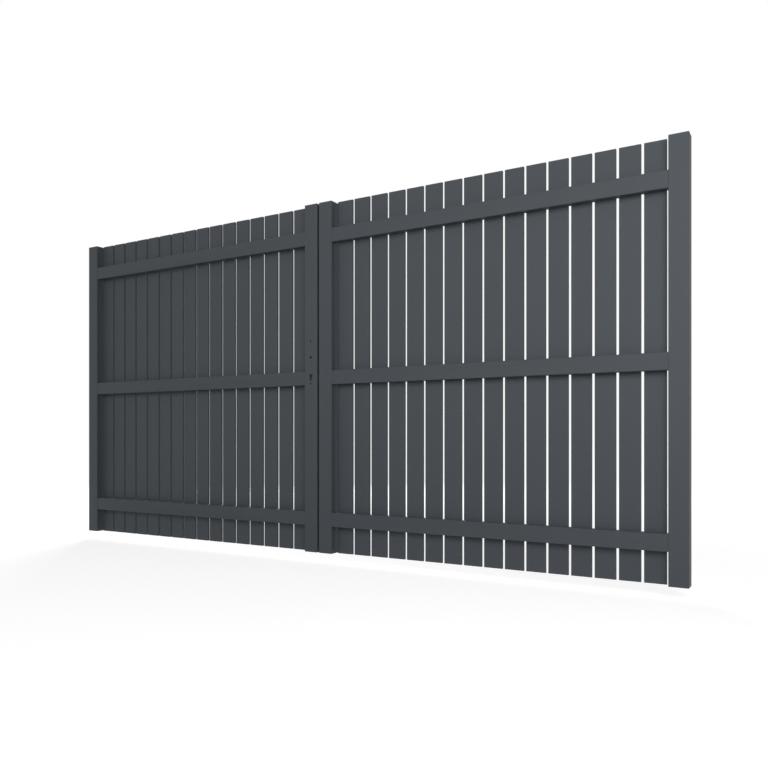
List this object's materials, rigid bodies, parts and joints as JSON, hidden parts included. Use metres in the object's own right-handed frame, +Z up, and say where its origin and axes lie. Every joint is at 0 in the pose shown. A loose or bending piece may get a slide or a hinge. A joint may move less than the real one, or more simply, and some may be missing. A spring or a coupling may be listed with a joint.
{
  "type": "double-leaf swing gate",
  "caption": "Driveway gate of two swinging leaves: flat upright slats behind horizontal rails between box-section uprights, with lift-off hinges and a profile-cylinder lock.",
  "frame": {"origin": "on the flat face of the lower left hinge bracket that is bolted to the pillar, midway between its two bolt holes and level with the hinge axis", "axes": "+X to the right along the closed gate seen from the front, +Y to the back, where the leaves open to, +Z up"},
  "size_m": [3.476, 0.111, 1.75],
  "materials": {
    "coated_frame": "anthracite powder coat, fine matte",
    "coated_slats": "anthracite powder coat, fine matte",
    "cap_plastic": "moulded, anthracite",
    "hinge_steel": "anthracite powder coat",
    "lock_steel": "brushed stainless steel",
    "cylinder_metal": "blackened, satin"
  },
  "bodies": {
    "hinge_brackets": {"bracket_left_lower": "hinge_steel", "bracket_left_upper": "hinge_steel", "bracket_right_lower": "hinge_steel", "bracket_right_upper": "hinge_steel"},
    "left_leaf": {"left_hinge_stile": "coated_frame", "left_meeting_stile": "coated_frame", "left_top_rail": "coated_frame", "left_middle_rail": "coated_frame", "left_bottom_rail": "coated_frame", "left_slats": "coated_slats", "left_slat_caps": "cap_plastic", "left_stile_caps": "cap_plastic", "left_hinge_eyes": "hinge_steel", "lock_case": "lock_steel", "lock_forend": "lock_steel", "lock_cylinder": "cylinder_metal", "lock_cam": "lock_steel", "lock_follower": "lock_steel", "lock_latch": "lock_steel", "lock_bolt": "lock_steel"},
    "right_leaf": {"right_hinge_stile": "coated_frame", "right_meeting_stile": "coated_frame", "right_top_rail": "coated_frame", "right_middle_rail": "coated_frame", "right_bottom_rail": "coated_frame", "right_slats": "coated_slats", "right_slat_caps": "cap_plastic", "right_stile_caps": "cap_plastic", "right_hinge_eyes": "hinge_steel", "strike_plate": "lock_steel"}
  },
  "joints": [
    {"name": "left_leaf_swing", "type": "hinge", "parent": "hinge_brackets", "child": "left_leaf", "pos_m": [0.027, 0, 0], "axis": [0, 0, 1], "range_deg": [0, 90]},
    {"name": "right_leaf_swing", "type": "hinge", "parent": "hinge_brackets", "child": "right_leaf", "pos_m": [3.433, 0, 0], "axis": [0, 0, -1], "range_deg": [0, 90]}
  ]
}
